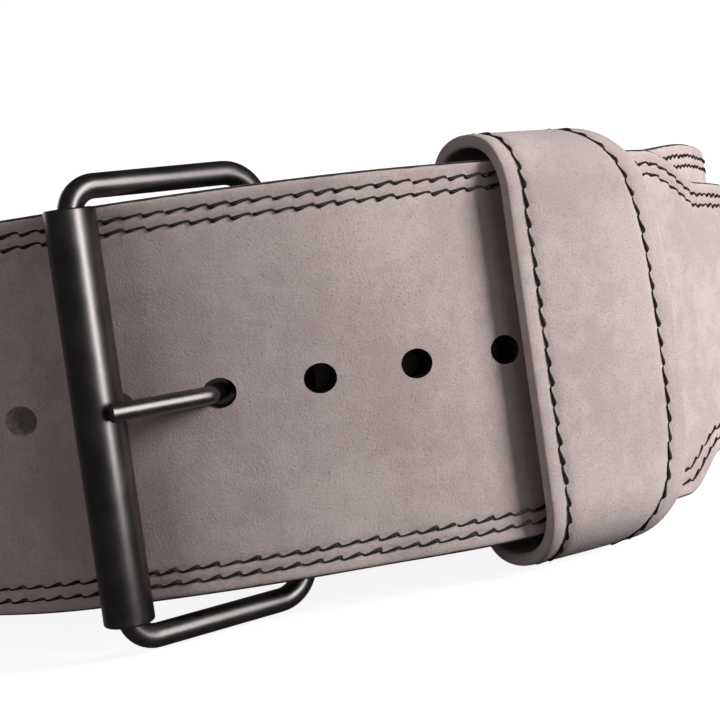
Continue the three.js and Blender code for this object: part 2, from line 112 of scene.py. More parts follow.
def plan(along):
    """Place and heading on the plan: the bend's corner plus its radius times the unit step."""
    place = FIRST_ALONG + np.mod(np.asarray(along, float) - FIRST_ALONG, LOOP_LENGTH)
    bend = np.clip(np.searchsorted(ALONG_ENDS, place, side="right"), 0, len(RADII) - 1)
    heading = BEND_STARTS[bend] + (place - ALONG_STARTS[bend]) / RADII[bend]
    step = unit_step(BEND_STARTS[bend], heading)
    return CORNERS[bend] + RADII[bend][..., None] * step, heading


print(f"the loop is {LOOP_LENGTH * 1000:.1f} mm long, radii {np.round(RADII * 1000, 1)}")

# %% Lean of the strap and places in space
ROLLER_ALONG = -0.0284
ROLLER_RADIUS = 0.00635
BAR_ALONG = 0.017
BUCKLE_LEFT = ROLLER_ALONG - 2 * ROLLER_RADIUS
BUCKLE_RIGHT = BAR_ALONG + 2 * ROLLER_RADIUS
# Each row: place along the strap, degrees by which the top edge comes forward there
LEAN = [
    (BUCKLE_LEFT - 0.33 * LOOP_LENGTH, 0),
    (BUCKLE_LEFT - 0.07 * LOOP_LENGTH, 12),
    (BUCKLE_LEFT, 4),
    (BUCKLE_RIGHT, 4),
    (BUCKLE_RIGHT + 0.05 * LOOP_LENGTH, 0),
]


def smooth(share):
    """3 s^2 - 2 s^3 with s held between 0 and 1."""
    share = np.clip(share, 0, 1)
    return share * share * (3 - 2 * share)


def lean(along):
    """Each pair of rows adds its smooth step from one angle to the next."""
    place = LEAN[0][0] + np.mod(np.asarray(along, float) - LEAN[0][0], LOOP_LENGTH)
    steps = [
        (high - low) * smooth((place - start) / (end - start))
        for (start, low), (end, high) in zip(LEAN, LEAN[1:])
    ]
    return np.radians(LEAN[0][1] + sum(steps))


def belt_point(along, out, height):
    """The plan point, moved along its outward normal by height sin(lean) + out cos(lean),
    and raised by height cos(lean) - out sin(lean)."""
    along, out, height = np.broadcast_arrays(along, out, height)
    place, heading = plan(along)
    tip = lean(along)
    reach = height * np.sin(tip) + out * np.cos(tip)
    x = place[..., 0] + np.sin(heading) * reach
    y = place[..., 1] - np.cos(heading) * reach
    return np.stack([x, y, height * np.cos(tip) - out * np.sin(tip)], axis=-1)


# %% [markdown]
# ## Standing on the floor
#
# The buckle's lower bar hangs below the strap's edge, so the belt stands tipped back by a few
# degrees. The record's mount on the lower edge gives that tip. The shift to the model's origin
# comes from the strap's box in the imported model, once the strap's own points are known.

# %% Tip of the belt
mount = frame["record"]["mounts"][0]
TIP_BACK = math.atan2(-mount["axis"][1], -mount["axis"][2])
TIP = Matrix.Rotation(-TIP_BACK, 3, "X")
print(f"the belt is tipped back by {math.degrees(TIP_BACK):.2f} degrees")

# %% [markdown]
# ## Materials
#
# Shader maths is easier to read as sums than as wired boxes, so one small class wraps a socket and
# gives it the usual operators.

# %% A socket with operators
class Value:
    """A shader socket that can be added, multiplied and compared like a number."""

    def __init__(self, tree, socket):
        self.tree = tree
        self.socket = socket

    def node(self, kind, settings=None, **inputs):
        """A new node with its settings first and then its inputs. Gives back the node."""
        made = self.tree.nodes.new(kind)
        for key, value in (settings or {}).items():
            setattr(made, key, value)
        for key, value in inputs.items():
            target = made.inputs[int(key[1:]) if key[0] == "_" else key.replace("_", " ")]
            if isinstance(value, Value):
                self.tree.links.new(value.socket, target)
            else:
                target.default_value = value
        return made

    def math(self, operation, *values, clamp=False):
        """One Math node over this socket and up to two more values."""
        inputs = {f"_{i}": value for i, value in enumerate((self, *values))}
        made = self.node("ShaderNodeMath", {"operation": operation, "use_clamp": clamp}, **inputs)
        return Value(self.tree, made.outputs[0])

    def __add__(self, other):
        return self.math("ADD", other)

    __radd__ = __add__

    def __sub__(self, other):
        return self.math("SUBTRACT", other)

    def __rsub__(self, other):
        return self.math("MULTIPLY", -1.0) + other

    def __mul__(self, other):
        return self.math("MULTIPLY", other)

    __rmul__ = __mul__

    def __truediv__(self, other):
        return self.math("DIVIDE", other)

    def between(self, low, high):
        """0 below low, 1 above high and a smooth passage between; low may be the larger."""
        made = self.node(
            "ShaderNodeMapRange", {"interpolation_type": "SMOOTHSTEP"},
            Value=self, From_Min=low, From_Max=high,
        )
        return Value(self.tree, made.outputs[0])

    def mix(self, first, second):
        """The first colour where this is 0, the second where it is 1."""
        made = self.node("ShaderNodeMix", {"data_type": "RGBA"}, _0=self, _6=first, _7=second)
        return Value(self.tree, made.outputs[2])


# %% Materials' beginnings
def new_material(name):
    """A material with its Principled shader and a Value that starts at object coordinates."""
    material = bpy.data.materials.new(name)
    material.use_nodes = True
    tree = material.node_tree
    shader = tree.nodes["Principled BSDF"]
    place = tree.nodes.new("ShaderNodeTexCoord")
    return material, shader, Value(tree, place.outputs["Object"])


def noise(place, scale, detail=2.0, roughness=0.5, distortion=0.0):
    """Noise around 0.5 with scale lumps a metre."""
    made = place.node(
        "ShaderNodeTexNoise", Vector=place, Scale=float(scale), Detail=float(detail),
        Roughness=float(roughness), Distortion=float(distortion),
    )
    return Value(place.tree, made.outputs[0])


def feed(value, shader, name):
    """Links a value to one of the shader's sockets."""
    value.tree.links.new(value.socket, shader.inputs[name])


def bump(height, distance, shader, strength=1.0):
    """Turns a height, 0 to 1, into the shader's normal."""
    made = height.node("ShaderNodeBump", Height=height, Distance=distance, Strength=strength)
    feed(Value(height.tree, made.outputs[0]), shader, "Normal")


def linear(red, green, blue):
    """A colour picked from a screen, 0 to 255, as light: ((c / 255 + 0.055) / 1.055) ** 2.4."""
    return (*((((np.array([red, green, blue]) / 255) + 0.055) / 1.055) ** 2.4), 1.0)


# %% [markdown]
# ### Nubuck
#
# Nubuck is sanded leather. Its nap lies in clouds that are a little lighter or darker, with fine
# darker flecks, and it scatters light so evenly that it has no highlight. The strap's outermost
# millimetre is painted, which the from_edge value at each point tells. Its inner face is much
# darker, which the inner_face value tells.

# %% Nubuck, with or without a painted edge
def nubuck(name, base, dark, light, painted):
    """Two layers of clouds and flecks round a base colour, rough, with a fine nap."""
    material, shader, place = new_material(name)
    wide = noise(place, 34, detail=3.0, roughness=0.55)
    small = noise(place, 190, detail=4.0, roughness=0.6)
    fine = noise(place, 1500, detail=3.0, roughness=0.65)
    shade = (wide - 0.5) * 1.2 + (small - 0.5) * 0.9 + (fine - 0.5) * 0.8 + 0.5
    colour = shade.between(0.25, 0.78).mix(linear(*dark), linear(*light))
    colour = Value(place.tree, place.node(
        "ShaderNodeMix", {"data_type": "RGBA"}, _0=0.5, _6=colour, _7=linear(*base)
    ).outputs[2])
    flecks = noise(place, 2600, detail=1.0).between(0.60, 0.72)
    colour = (flecks * 0.35).mix(colour, linear(*(0.72 * np.array(base))))
    rough = 0.93
    nap = fine * 0.55 + small * 0.2 + flecks * -0.3
    if painted:
        from_edge, inner_face = (
            Value(place.tree, place.node("ShaderNodeAttribute", {"attribute_name": name}).outputs["Fac"])
            for name in ("from_edge", "inner_face")
        )
        # The inner face is mixed towards a much darker colour.
        dark_inner = fine.mix(linear(34, 30, 30), linear(58, 51, 50))
        colour = inner_face.mix(colour, dark_inner)
        wander = (noise(place, 260, detail=2.0) - 0.5) * 0.0007
        paint = (from_edge + wander).between(0.0005, 0.0002)
        colour = paint.mix(colour, linear(24, 21, 21))
        feed(rough - paint * 0.58, shader, "Roughness")
        nap = nap * (1 - paint) + (noise(place, 420, detail=2.0) * paint) * 0.5
    else:
        shader.inputs["Roughness"].default_value = rough
    feed(colour, shader, "Base Color")
    shader.inputs["Specular IOR Level"].default_value = 0.25
    shader.inputs["Sheen Weight"].default_value = 0.12
    shader.inputs["Sheen Roughness"].default_value = 0.6
    bump(nap, 0.00022, shader)
    return material


def cut_leather(name, dark, light):
    """Cut leather in the walls of the holes, with dark and light fibres."""
    material, shader, place = new_material(name)
    fibre = noise(place, 900, detail=4.0, roughness=0.7)
    feed(fibre.between(0.3, 0.7).mix(linear(*dark), linear(*light)), shader, "Base Color")
    shader.inputs["Roughness"].default_value = 0.95
    bump(fibre, 0.0002, shader)
    return material


def thread():
    """Waxed thread: nearly black, a little shiny, with the twist as a faint mottle."""
    material, shader, place = new_material("thread")
    mottle = noise(place, 2200, detail=2.0)
    feed(mottle.between(0.35, 0.7).mix(linear(13, 10, 10), linear(40, 33, 32)), shader, "Base Color")
    shader.inputs["Roughness"].default_value = 0.62
    return material


def gunmetal():
    """Dark plating over polished steel, with faint wear."""
    material, shader, place = new_material("gunmetal")
    shader.inputs["Metallic"].default_value = 1.0
    wear = noise(place, 120, detail=4.0, roughness=0.6)
    feed(wear.between(0.3, 0.75).mix(linear(112, 108, 107), linear(128, 123, 122)), shader, "Base Color")
    feed(wear.between(0.3, 0.7) * 0.05 + 0.33, shader, "Roughness")
    return material


NUBUCK = nubuck("nubuck", (192, 174, 172), (173, 155, 154), (208, 191, 188), painted=True)
# The keeper's nubuck has no edge paint and is a little darker than the strap's, which is painted shade.
SHADED_KEEPER_NUBUCK = nubuck("keeper nubuck, painted shade", (189, 172, 170), (172, 155, 154), (204, 187, 185), painted=False)
# The dark hole wall is dyed, and its near black is partly painted shade inside the holes.
DYED_AND_SHADED_WALL = cut_leather("dyed hole wall, painted shade", (22, 19, 19), (44, 38, 37))
# The worn hole wall is raw leather, brightened nearly to white as painted light on the wall that faces
# the lamp.
WORN_AND_LIT_WALL = cut_leather("worn hole wall, painted light", (186, 172, 165), (250, 242, 236))
THREAD = thread()
GUNMETAL = gunmetal()

# %% [markdown]
# ## The strap
#
# The real strap is one piece of leather, ten millimetres thick, with its edges cut, bevelled and
# painted. Its tongue has shoulders and a round tip, and its other end is folded round the
# buckle's back bar. A box with a Bend modifier would stretch the leather, so the strap is a grid:
# one closed outline across it, repeated at every station along it. Stations and heights lie close
# where the stitches run and where the front is seen, and wide elsewhere.

# %% Outline of the strap
SHOULDER_START = 0.138
SHOULDER_LENGTH = {1: 0.032, -1: 0.022}
TONGUE_WIDTH = 0.081
TIP_ALONG = 0.226
TIP_CORNER_RADIUS = 0.026
WIRE_RADIUS = 0.0031
EYE_BORE = WIRE_RADIUS + 0.0004
EYE_RADIUS = EYE_BORE + 0.0041
EYE_TAPER = 0.026
EYE_WIDTH = 0.094
EYE_ALONG = BAR_ALONG - LOOP_LENGTH
PRONG_RADIUS = 0.0023
PRONG_RING_BORE = WIRE_RADIUS + 0.00035
PRONG_RING_RADIUS = PRONG_RING_BORE + 0.0043
BAR_DEPTH = STRAP_THICKNESS + LAYER_GAP + max(EYE_RADIUS, PRONG_RING_RADIUS)
BUCKLE_SKEW = math.radians(0.6)
RISE_HEIGHT = 0.0060
RISE_START = 0.125
RISE_END = 0.240


def edge_height(along, side):
    """Half the width, less the smooth steps of the shoulder and of the eye, and less the round of
    the tip's corner."""
    shoulder = smooth((along - SHOULDER_START) / SHOULDER_LENGTH[side])
    eye = 1 - smooth((along - EYE_ALONG) / EYE_TAPER)
    half = (
        STRAP_WIDTH / 2 - (STRAP_WIDTH - TONGUE_WIDTH) / 2 * shoulder
        - (STRAP_WIDTH - EYE_WIDTH) / 2 * eye
    )
    into = np.clip(TIP_CORNER_RADIUS - (TIP_ALONG - along), 0, TIP_CORNER_RADIUS)
    return side * (half - TIP_CORNER_RADIUS + np.sqrt(TIP_CORNER_RADIUS**2 - into**2))


def inset(along):
    """The tongue lies on the plan, and the stretch under it lies one layer further in."""
    done = TIP_ALONG + 0.03 * LOOP_LENGTH - LOOP_LENGTH
    start = -0.28 * LOOP_LENGTH
    return (STRAP_THICKNESS + LAYER_GAP) * (1 - smooth((along - done) / (start - done)))


def rise(along):
    """How far the stretch under the tongue's end is raised: up by one smooth step, down again by
    another before the back."""
    up = smooth((along + LOOP_LENGTH - RISE_START) / 0.09)
    down = smooth((along + LOOP_LENGTH - RISE_END) / 0.16)
    return RISE_HEIGHT * up * (1 - down)


def faces(along):
    """Depths of the outer and inner face: a circle round the back bar, eased into the strap."""
    past = along - EYE_ALONG
    share = smooth(past / EYE_TAPER)
    round_bar = np.sqrt(np.maximum(EYE_RADIUS**2 - np.minimum(past, 0) ** 2, 0))
    half = round_bar + (STRAP_THICKNESS / 2 - round_bar) * share
    middle = BAR_DEPTH + (inset(along) + STRAP_THICKNESS / 2 - BAR_DEPTH) * share
    return middle - half, middle + half, 1 - share


# %% Section and stations of the strap
STITCH_ROWS = (0.0040, 0.0073)
STITCH_DIP = 0.00025
STITCH_DIP_REACH = 0.0009
FINE_REACH = 0.0100


def half_section(fine=15, coarse=15, corner=5):
    """From the middle of the lower side over one face to the upper side. Columns: share of the
    way up, distance in from the edge, depth below the face."""
    turn = np.linspace(np.pi / 2, 0, corner)[:-1]
    arc = np.stack([0 * turn, EDGE_BEVEL * (1 - np.sin(turn)), EDGE_BEVEL * (1 - np.cos(turn))], 1)
    reach = np.linspace(EDGE_BEVEL, FINE_REACH, fine)
    flat = np.stack([0 * reach, reach, 0 * reach], 1)
    up = np.linspace(0, 1, coarse)[1:-1]
    middle = np.stack([up, np.full_like(up, FINE_REACH), 0 * up], 1)
    lower = np.concatenate([arc, flat])
    upper = lower[::-1] + [1, 0, 0]
    return np.concatenate([lower, middle, upper])


def strap_stations():
    """Round the eye by equal turns, then by steps, then round the tip's corner by equal turns."""
    nose = EYE_ALONG - EYE_RADIUS * np.cos(np.radians(np.linspace(4, 86, 14)))
    corner = TIP_ALONG - TIP_CORNER_RADIUS
    stretches = [
        (EYE_ALONG, EYE_ALONG + EYE_TAPER, 0.0013),
        (EYE_ALONG + EYE_TAPER, -0.150, 0.0032),
        (-0.150, corner, 0.0009),
    ]
    runs = [np.arange(start, end, step) for start, end, step in stretches]
    tip = corner + TIP_CORNER_RADIUS * np.sin(np.linspace(0, np.pi / 2, 32))
    return np.concatenate([nose, *runs, tip])


def strap_grid(along, half):
    """Every station carries the half section on its outer face and, turned round, on its inner
    face. Stitch rows dip by a bell curve, and the tip's end is rounded like the edges."""
    section = np.concatenate([half, half[::-1]])
    inner_side = np.arange(len(section)) >= len(half)
    share, reach, below = section.T
    low, high = (edge_height(along, side)[:, None] for side in (-1, 1))
    height = (1 - share) * (low + reach) + share * (high - reach)
    outer, inner, skewed = (value[:, None] for value in faces(along))
    bells = sum(np.exp(-(((reach - row) / STITCH_DIP_REACH) ** 2)) for row in STITCH_ROWS)
    below = below * np.minimum(1, (inner - outer) / (3 * EDGE_BEVEL)) + STITCH_DIP * bells
    to_tip = np.clip(EDGE_BEVEL - (TIP_ALONG - along[:, None]), 0, EDGE_BEVEL)
    below = np.maximum(below, EDGE_BEVEL - np.sqrt(EDGE_BEVEL**2 - to_tip**2))
    depth = np.where(inner_side, inner - below, outer + below)
    along = along[:, None] + np.tan(BUCKLE_SKEW) * skewed * height
    from_edge = np.minimum(height - low, high - height)
    from_edge = np.where(reach < EDGE_BEVEL, reach - below, from_edge)
    inner_face = np.broadcast_to(inner_side, depth.shape).astype(float)
    return belt_point(along, -depth, height + rise(along)), along, height, from_edge, inner_face


# %% Places on the floor
strap_along = strap_stations()
strap_points, strap_u, strap_v, strap_from_edge, strap_inner = strap_grid(
    strap_along, half_section()
)
tip = np.array(TIP)
tipped = (strap_points @ tip.T).reshape(-1, 3)
cad_low, cad_high = (np.array(corner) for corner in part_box("belt_strap"))
SHIFT = cad_low - tipped.min(axis=0)


def stand(points):
    """The belt's own frame, tipped back and shifted to the model's origin."""
    return points @ tip.T + SHIFT


print("strap grid:", strap_points.shape, "shift in mm:", (SHIFT * 1000).round(2))
size_less_packed = np.ptp(tipped, axis=0) - (cad_high - cad_low)
print("size less the packed size, mm:", (size_less_packed * 1000).round(2))

# %% [markdown]
# ## From grids to meshes
#
# A grid of points becomes a mesh of quads, with a cap at each open end. The signed volume tells
# whether the faces point outwards, and turns them round if they don't. The strap also keeps two
# values at each point, its place on the flat leather and its distance from the edge, so that the
# paint and the nap can follow the leather round the loop.

# %% Helpers for meshes
def grid_quads(rows, columns, rows_close, columns_close):
    """Corner indices of the cells, wrapping round where a direction closes on itself."""
    row = np.arange(rows if rows_close else rows - 1)[:, None]
    column = np.arange(columns if columns_close else columns - 1)[None, :]
    next_row, next_column = (row + 1) % rows, (column + 1) % columns
    corners = [(row, column), (next_row, column), (next_row, next_column), (row, next_column)]
    return np.stack([a * columns + b for a, b in corners], axis=-1).reshape(-1, 4)


def signed_volume(points, quads):
    """A sixth of the sum of corner . (corner x corner) over the two triangles of each quad."""
    a, b, c, d = (points[quads[:, corner]] for corner in range(4))
    return (np.einsum("ij,ij", a, np.cross(b, c)) + np.einsum("ij,ij", a, np.cross(c, d))) / 6


def make_piece(name, points, quads, caps=(), material=None, smooth_angle=40):
    """A mesh object at the origin, with its faces outwards and smooth up to an angle."""
    points = points.reshape(-1, 3)
    faces_out = [list(face) for face in quads] + [list(cap) for cap in caps]
    if signed_volume(points, quads) < 0:
        faces_out = [face[::-1] for face in faces_out]
    mesh = bpy.data.meshes.new(name)
    mesh.from_pydata(points.tolist(), [], [[int(i) for i in face] for face in faces_out])
    mesh.polygons.foreach_set("use_smooth", np.ones(len(mesh.polygons), bool))
    mesh.set_sharp_from_angle(angle=math.radians(smooth_angle))
    mesh.materials.append(material)
    piece = bpy.data.objects.new(name, mesh)
    bpy.context.scene.collection.objects.link(piece)
    mesh.calc_loop_triangles()
    print(f"{name}: {len(mesh.vertices)} points, {len(mesh.loop_triangles)} triangles")
    return piece


def tube(rings, closed=False):
    """Quads and end caps of a grid whose rows are closed rings."""
    rows, columns = rings.shape[:2]
    caps = () if closed else (range(columns), range((rows - 1) * columns, rows * columns)[::-1])
    return grid_quads(rows, columns, closed, True), caps


def cut(piece, cutter, operation="DIFFERENCE"):
    """Joins a cutter to a piece or cuts it away, and removes the cutter. The new faces keep the
    cutter's material."""
    modifier = piece.modifiers.new("cut", "BOOLEAN")
    modifier.operation = operation
    modifier.solver = "MANIFOLD"
    modifier.material_mode = "TRANSFER"
    modifier.object = cutter
    graph = bpy.context.evaluated_depsgraph_get()
    mesh = bpy.data.meshes.new_from_object(piece.evaluated_get(graph))
    piece.modifiers.clear()
    piece.data = mesh
    bpy.data.objects.remove(cutter)


def keep_on_points(piece, name, values):
    """Stores one number a point under a name that materials can read."""
    layer = piece.data.attributes.new(name, "FLOAT", "POINT")
    layer.data.foreach_set("value", values.astype(np.float32).ravel())


def keep_flat_place(piece, u, v):
    """Stores the place on the flat leather, in metres, as the piece's UV map."""
    corners = np.empty(len(piece.data.loops), np.int32)
    piece.data.loops.foreach_get("vertex_index", corners)
    flat = np.stack([u.ravel()[corners], v.ravel()[corners]], axis=1).astype(np.float32)
    piece.data.uv_layers.new(name="leather").data.foreach_set("uv", flat.ravel())


# %% Make the strap
strap = make_piece("strap_leather", stand(strap_points), *tube(strap_points), NUBUCK)
keep_on_points(strap, "from_edge", strap_from_edge)
keep_on_points(strap, "inner_face", strap_inner)
keep_flat_place(strap, strap_u, strap_v)

# %% [markdown]
# ## Holes and the eye
#
# The prong holes are punched right through, a little longer along the strap than they are high.
# Drawing them into the grid would need a patch of fine faces round each. A Boolean is simpler, and
# the face of thick leather is flat enough to take one without a trace.

# %% Punch the holes, bore the eye and cut the slot for the prong
HOLE_PITCH = 0.0254
HOLE_LENGTH = 0.0085
HOLE_HEIGHT = 0.0076
HOLES = range(-6, 4)
PRONG_SLOT_GAP = 0.001


def hole_cutter(hole, sides=40):
    """An oval bar square to the strap, from well outside to just past the inner face."""
    turn = np.linspace(0, 2 * np.pi, sides, endpoint=False)
    out = np.array([STRAP_THICKNESS, -STRAP_THICKNESS - LAYER_GAP / 2])[:, None]
    along = hole * HOLE_PITCH + HOLE_LENGTH / 2 * np.cos(turn)
    return belt_point(along[None, :], out, HOLE_HEIGHT / 2 * np.sin(turn)[None, :])


for hole in HOLES:
    bar = hole_cutter(hole)
    # Holes left of the buckle get the worn wall with its painted light; the one by the roller, the
    # prong's hole and those to its right get the dark wall with its painted shade.
    wall = WORN_AND_LIT_WALL if hole < -1 else DYED_AND_SHADED_WALL
    cut(strap, make_piece("hole", stand(bar), *tube(bar), wall))


# %% Axes of the buckle
def buckle_axes():
    """Across, inwards and rise at the prong hole, turned by the buckle's skew."""
    origin = belt_point(0.0, 0.0, 0.0)
    right = belt_point(1e-5, 0.0, 0.0) - belt_point(-1e-5, 0.0, 0.0)
    up = belt_point(0.0, 0.0, 1e-3) - origin
    right, up = right / np.linalg.norm(right), up / np.linalg.norm(up)
    across = right * math.cos(BUCKLE_SKEW) - up * math.sin(BUCKLE_SKEW)
    rise = up * math.cos(BUCKLE_SKEW) + right * math.sin(BUCKLE_SKEW)
    return origin, np.stack([across, np.cross(rise, across), rise])


BUCKLE_ORIGIN, BUCKLE_AXES = buckle_axes()


def in_buckle(points):
    """Places given by across, inwards and rise, turned into the belt's frame."""
    return BUCKLE_ORIGIN + points @ BUCKLE_AXES


def buckle_place(along, out):
    """Across and inwards of a point of the strap's middle line."""
    return ((belt_point(along, out, 0.0) - BUCKLE_ORIGIN) @ BUCKLE_AXES.T)[:2]


ROLLER_SEAT_GAP = 0.0006
BAR = buckle_place(BAR_ALONG, -BAR_DEPTH)
ROLLER = buckle_place(ROLLER_ALONG, ROLLER_SEAT_GAP + ROLLER_RADIUS)
print("bar and roller in the buckle's plan, mm:", (BAR * 1000).round(2), (ROLLER * 1000).round(2))


def lathe(centre, profile, sides=64):
    """Each profile point, a radius and a height, swept round an upright axis."""
    turn = np.linspace(0, 2 * np.pi, sides, endpoint=False)
    radius, height = np.array(profile).T
    x = centre[0] + radius[:, None] * np.cos(turn)
    y = centre[1] + radius[:, None] * np.sin(turn)
    return in_buckle(np.stack([x, y, np.broadcast_to(height[:, None], x.shape)], axis=-1))


# The bore and the slot take the dark wall too, with its painted shade.
bore = lathe(BAR, [(EYE_BORE, -STRAP_WIDTH), (EYE_BORE, STRAP_WIDTH)])
cut(strap, make_piece("bore", stand(bore), *tube(bore), DYED_AND_SHADED_WALL))

slot_reach = PRONG_RING_RADIUS + PRONG_SLOT_GAP
slot_half = PRONG_RADIUS + PRONG_SLOT_GAP
slot_along = BAR_ALONG + slot_reach * np.array([-1, 1])[:, None]
slot_outer, slot_inner = STRAP_THICKNESS + LAYER_GAP / 2, BAR_DEPTH + 2 * slot_reach
slot_depth = np.array([slot_outer, slot_outer, slot_inner, slot_inner])
slot = belt_point(slot_along, -slot_depth, slot_half * np.array([-1, 1, 1, -1]))
cut(strap, make_piece("slot", stand(slot), *tube(slot), DYED_AND_SHADED_WALL))
strap.data.set_sharp_from_angle(angle=math.radians(40))
print(f"strap after the cuts: {len(strap.data.polygons)} faces")

# %% [markdown]
# ## The buckle
#
# The frame is one bent wire: two straight sides, tight bends at the roller and wider ones at the
# back bar. The roller is a tube that turns on the front wire, and the prong is a thinner wire with
# a ring round the back bar. All three are circles carried along a path, so one function lays
# rings along any path and the rest is choosing the path.

# %% Rings along a path
def rings_along(path, upright, radius, sides=28):
    """At each path point a circle in the plane of two directions: the path's heading crossed
    with upright, and upright crossed back with the heading."""
    heading = np.gradient(path, axis=0)
    heading /= np.linalg.norm(heading, axis=1, keepdims=True)
    sideways = np.cross(heading, upright)
    sideways /= np.linalg.norm(sideways, axis=1, keepdims=True)
    up = np.cross(sideways, heading)
    turn = np.linspace(0, 2 * np.pi, sides, endpoint=False)
    radius = np.broadcast_to(radius, len(path))[:, None, None]
    spokes = np.cos(turn)[None, :, None] * sideways[:, None] + np.sin(turn)[None, :, None] * up[:, None]
    return path[:, None] + radius * spokes


# %% Frame of the buckle
FRAME_FRONT_CORNER = 0.007
FRAME_BACK_CORNER = 0.009
EYE_BORE_GAP = EYE_BORE - WIRE_RADIUS
ROLLER_BORE_GAP = 0.0006
FRAME_DROP = 0.0017
EYE_REACH = EYE_WIDTH / 2 + FRAME_DROP + BAR_ALONG * math.sin(BUCKLE_SKEW)
FRAME_HALF_HEIGHT = EYE_REACH + FRAME_BACK_CORNER - math.sqrt(FRAME_BACK_CORNER * EYE_BORE_GAP)
ROLLER_HALF_LENGTH = (
    FRAME_HALF_HEIGHT - FRAME_FRONT_CORNER + math.sqrt(FRAME_FRONT_CORNER * ROLLER_BORE_GAP)
)


def frame_path():
    """A rectangle from the roller to the bar, with a quarter circle at each corner."""
    span = BAR - ROLLER
    length = np.linalg.norm(span)
    # Columns: reach from the roller, side up or down, bend radius, angle where the bend starts
    corners = [
        (0, -1, FRAME_FRONT_CORNER, 180),
        (length, -1, FRAME_BACK_CORNER, 270),
        (length, 1, FRAME_BACK_CORNER, 0),
        (0, 1, FRAME_FRONT_CORNER, 90),
    ]
    places = []
    for reach, side, radius, start in corners:
        turn = np.radians(start + np.linspace(0, 90, 14))
        centre = reach - math.copysign(radius, reach - length / 2)
        height = side * (FRAME_HALF_HEIGHT - radius) + radius * np.sin(turn) - FRAME_DROP
        places.append(np.stack([centre + radius * np.cos(turn), height], axis=1))
    reach, height = np.concatenate(places).T
    across, inwards = ROLLER[:, None] + np.outer(span / length, reach)
    return np.stack([across, inwards, height], axis=1), np.append(span / length, 0)


def closed_rings(path, normal, radius, sides=28):
    """As rings_along, for a flat path that closes on itself: one direction is its normal."""
    heading = np.roll(path, -1, axis=0) - np.roll(path, 1, axis=0)
    heading /= np.linalg.norm(heading, axis=1, keepdims=True)
    sideways = np.cross(heading, normal)
    turn = np.linspace(0, 2 * np.pi, sides, endpoint=False)
    spokes = np.cos(turn)[None, :, None] * sideways[:, None] + np.sin(turn)[None, :, None] * normal
    return path[:, None] + radius * spokes


wire_path, wire_ahead = frame_path()
wire_rings = closed_rings(wire_path, np.cross(wire_ahead, (0, 0, 1)), WIRE_RADIUS)
wire_quads, _ = tube(wire_rings, closed=True)
wire = make_piece("frame_wire", stand(in_buckle(wire_rings)), wire_quads, material=GUNMETAL)
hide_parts("buckle_frame")

# %% Roller
ROLLER_ROUND = 0.0006


def roller_profile(steps=5):
    """Radius and height round the tube's wall, with its outer corners rounded."""
    turn = np.linspace(0, np.pi / 2, steps)
    bore = WIRE_RADIUS + ROLLER_BORE_GAP
    corner = np.stack([
        ROLLER_RADIUS - ROLLER_ROUND * (1 - np.cos(turn)),
        ROLLER_HALF_LENGTH - ROLLER_ROUND * (1 - np.sin(turn)),
    ], axis=1)
    inner = np.array([[bore, ROLLER_HALF_LENGTH]])
    upper = np.concatenate([corner, inner])
    return np.concatenate([upper[::-1] * [1, -1], upper]) - [0, FRAME_DROP]


roller_wall = lathe(ROLLER, roller_profile(), sides=96)
roller_quads = grid_quads(*roller_wall.shape[:2], True, True)
roller = make_piece("roller_tube", stand(roller_wall), roller_quads, material=GUNMETAL)
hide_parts("buckle_roller")

# %% Prong
PRONG_SEAT_GAP = 0.00035
PRONG_OVERREACH = 0.0006
PRONG_TIP_ROUND = 0.0007
PRONG_FOOT_ANGLE = math.radians(221)


def prong_bends():
    """Bends of the shank, and the straight shaft: a line that touches two circles, one round the
    hole's rim and one round the roller."""
    foot_turn = np.array([math.cos(PRONG_FOOT_ANGLE), math.sin(PRONG_FOOT_ANGLE)])
    foot = BAR + (PRONG_RING_BORE + PRONG_RING_RADIUS) / 2 * foot_turn
    rim = np.array([-HOLE_LENGTH / 2, 0])
    rim_seat = PRONG_RADIUS + PRONG_SEAT_GAP
    to_roller = ROLLER - rim
    distance = np.linalg.norm(to_roller)
    slope = math.atan2(to_roller[1], to_roller[0]) + math.asin(ROLLER_RADIUS / distance)
    shaft = np.array([math.cos(slope), math.sin(slope)])
    knee_turn = math.atan2(-shaft[0], -shaft[1])
    turn = knee_turn * np.array([0, 0.35, 0.7, 1])
    round_rim = rim + rim_seat * np.stack([np.cos(turn), -np.sin(turn)], axis=1)
    shank = np.array([
        (0.2 * HOLE_LENGTH, STRAP_THICKNESS + LAYER_GAP + PRONG_RADIUS),
        (-0.02 * HOLE_LENGTH, 0.55 * STRAP_THICKNESS),
    ])
    reach = math.sqrt(distance**2 - ROLLER_RADIUS**2) + PRONG_OVERREACH
    return np.concatenate([[foot], shank, round_rim]), shaft, reach


def smooth_path(bends, steps):
    """Catmull-Rom: each stretch is a cubic through two bends, aimed by their neighbours, with
    the spacing of the bends counted by the square root of their distance."""
    ends = np.concatenate([[2 * bends[0] - bends[1]], bends, [2 * bends[-1] - bends[-2]]])
    knots = np.concatenate([[0], np.cumsum(np.linalg.norm(np.diff(ends, axis=0), axis=1) ** 0.5)])
    at = np.linspace(knots[1], knots[-2], steps)
    k = np.clip(np.searchsorted(knots, at, side="right") - 1, 1, len(ends) - 3)

    def between(p, q, start, end):
        share = ((at - knots[start]) / (knots[end] - knots[start]))[:, None]
        return p + (q - p) * share

    a, b, c = (between(ends[k + i], ends[k + i + 1], k + i, k + i + 1) for i in (-1, 0, 1))
    return between(between(a, b, k - 1, k + 1), between(b, c, k, k + 2), k, k + 1)


